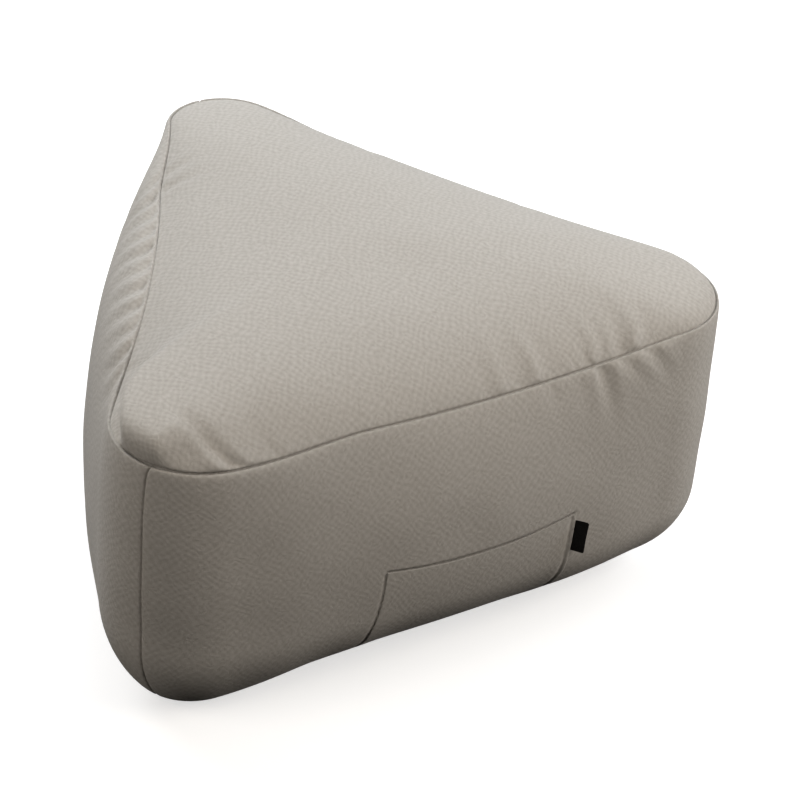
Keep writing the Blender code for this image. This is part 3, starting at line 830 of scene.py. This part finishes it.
def cloth_material(name):
    """Matte weave of uneven groups of yarns, in close warm greys, with painted shade in its creases."""
    nodes = Nodes(name)
    cloth = nodes.node("UVMap", uv_map="cloth").outputs["UV"]
    yarns = []
    for pitch, turn in zip(YARN_GROUPS, (0, pi / 2)):
        groups = nodes.node("TexGabor", gabor_type="2D")
        nodes.put(groups.inputs["Vector"], cloth)
        groups.inputs["Scale"].default_value = 1 / (pitch * WAVES_TOGETHER)
        groups.inputs["Frequency"].default_value = WAVES_TOGETHER
        groups.inputs["Anisotropy"].default_value = 1
        groups.inputs["Orientation"].default_value = turn
        yarns.append(nodes.math("SINE", nodes.math("MULTIPLY", groups.outputs["Phase"], 2 * pi)))
    crossings = nodes.math("MULTIPLY", *yarns)
    tone = nodes.math("MULTIPLY_ADD", crossings, YARN_TONE, 0.5)
    height = nodes.math("MULTIPLY_ADD", crossings, YARN_HEIGHT, 0.5)
    space = nodes.node("TexCoord").outputs["Object"]
    for grain in GRAINS:
        noise = nodes.math("SUBTRACT", nodes.noise(space, grain.scale, grain.detail, grain.roughness), 0.5)
        tone = nodes.math("MULTIPLY_ADD", noise, grain.tone, tone)
        height = nodes.math("MULTIPLY_ADD", noise, grain.height, height)
    # painted shade: the cloth's colour runs towards a dark tone in the narrow folds
    painted_shade = nodes.node("Attribute", attribute_name="painted_shade").outputs["Fac"]
    shade = nodes.math("MULTIPLY", painted_shade, CREASE_PAINTED_SHADE)
    colour = nodes.mix(shade, nodes.mix(tone, CLOTH_DARK, CLOTH_LIGHT), PAINTED_SHADE_TONE)
    nodes.put(nodes.shader.inputs["Base Color"], colour)
    nodes.put(nodes.shader.inputs["Normal"], nodes.bump(height, BUMP_DEPTH))
    nodes.shader.inputs["Roughness"].default_value = 0.92
    nodes.shader.inputs["Specular IOR Level"].default_value = 0.2
    nodes.shader.inputs["Sheen Weight"].default_value = 0.12
    nodes.shader.inputs["Sheen Roughness"].default_value = 0.5
    return nodes.material


def label_material():
    """Black woven tape with fine ribs."""
    nodes = Nodes("label_black")
    cloth = nodes.node("UVMap", uv_map="cloth").outputs["UV"]
    split = nodes.node("SeparateXYZ")
    nodes.put(split.inputs[0], cloth)
    ribs = [nodes.math("SINE", nodes.math("MULTIPLY", split.outputs[axis], 2 * pi / pitch))
            for axis, pitch in enumerate(RIB_PITCHES)]
    weave = nodes.math("MULTIPLY", ribs[0], ribs[1])
    fuzz = nodes.noise(cloth, FUZZ_SCALE, 2, 0.6)
    tone = nodes.math("MULTIPLY_ADD", weave, RIB_TONE, fuzz)
    nodes.put(nodes.shader.inputs["Base Color"], nodes.mix(tone, TAPE_DARK, TAPE_LIGHT))
    nodes.put(nodes.shader.inputs["Normal"], nodes.bump(nodes.math("ADD", weave, fuzz), TAPE_BUMP_DEPTH))
    nodes.shader.inputs["Roughness"].default_value = 0.7
    nodes.shader.inputs["Specular IOR Level"].default_value = 0.25
    return nodes.material


def floor_material():
    """Pale studio floor, a little bright of itself so that shadows on it stay soft."""
    nodes = Nodes("floor_white")
    nodes.shader.inputs["Base Color"].default_value = (0.62, 0.62, 0.62, 1)
    nodes.shader.inputs["Roughness"].default_value = 0.9
    nodes.shader.inputs["Emission Color"].default_value = (1, 1, 1, 1)
    nodes.shader.inputs["Emission Strength"].default_value = 0.6
    return nodes.material


def build_floor():
    """A pale studio floor that lights nothing back, so that the sides keep their shading."""
    bpy.ops.mesh.primitive_circle_add(vertices=96, radius=FLOOR_RADIUS, fill_type="NGON",
                                      location=(0, 0, -FLOOR_DROP))
    floor = bpy.context.object
    floor.name = "studio_floor"
    floor.data.materials.append(floor_material())
    floor.visible_diffuse = False
    floor.visible_glossy = False


def direction(azimuth, elevation):
    """Unit vector from the pouf towards a place seen at an azimuth, 0 in front and 90 at the right."""
    a, e = radians(azimuth), radians(elevation)
    return Vector((sin(a) * cos(e), -cos(a) * cos(e), sin(e)))


def build_lamps():
    """Large soft lamps round the pouf."""
    for lamp in LAMPS:
        light = bpy.data.lights.new("lamp_" + lamp.name, "AREA")
        light.shape = "DISK"
        light.size = LAMP_SIZE
        light.energy = LAMP_POWER
        light.color = lamp.strength
        item = bpy.data.objects.new(light.name, light)
        bpy.context.scene.collection.objects.link(item)
        towards = direction(lamp.azimuth, lamp.elevation)
        item.location = towards * LAMP_DISTANCE + Vector((0, 0, LAMP_HEIGHT))
        item.rotation_euler = towards.to_track_quat("Z", "Y").to_euler()
        item.visible_camera = False


def build_room():
    """A room that is dim above the floor and dark below it."""
    world = bpy.data.worlds.new("studio_room")
    world.use_nodes = True
    tree = world.node_tree
    coordinates = tree.nodes.new("ShaderNodeTexCoord")
    split = tree.nodes.new("ShaderNodeSeparateXYZ")
    above = tree.nodes.new("ShaderNodeMath")
    above.operation = "GREATER_THAN"
    above.inputs[1].default_value = 0.0
    mix = tree.nodes.new("ShaderNodeMix")
    mix.data_type = "RGBA"
    mix.inputs["A"].default_value = (*SKY_BELOW, 1)
    mix.inputs["B"].default_value = (*SKY_ABOVE, 1)
    tree.links.new(coordinates.outputs["Generated"], split.inputs[0])
    tree.links.new(split.outputs["Z"], above.inputs[0])
    tree.links.new(above.outputs[0], mix.inputs["Factor"])
    tree.links.new(mix.outputs["Result"], tree.nodes["Background"].inputs["Color"])
    bpy.context.scene.world = world


def build_camera():
    """The photograph's camera."""
    back = direction(AZIMUTH, ELEVATION)
    level = Vector((cos(radians(AZIMUTH)), sin(radians(AZIMUTH)), 0))
    upward = back.cross(level)
    turn = radians(ROLL)
    right = level * cos(turn) + upward * sin(turn)
    up = upward * cos(turn) - level * sin(turn)
    data = bpy.data.cameras.new("photo_camera")
    data.sensor_width = SENSOR
    data.lens = FOCAL_PIXELS / IMAGE_WIDTH * SENSOR
    data.clip_end = 100
    camera = bpy.data.objects.new("photo_camera", data)
    bpy.context.scene.collection.objects.link(camera)
    place = TARGET + back * DISTANCE
    camera.matrix_world = Matrix.Translation(place) @ Matrix((right, up, back)).transposed().to_4x4()
    bpy.context.scene.camera = camera


build_camera()
build_floor()
build_lamps()
build_room()
bpy.context.scene.view_settings.view_transform = "Standard"

cover = build_cover(cloth_material("cover_weave"))
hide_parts("pouf_body")
handle = build_handle(cloth_material("handle_weave"))
label = build_label(label_material())
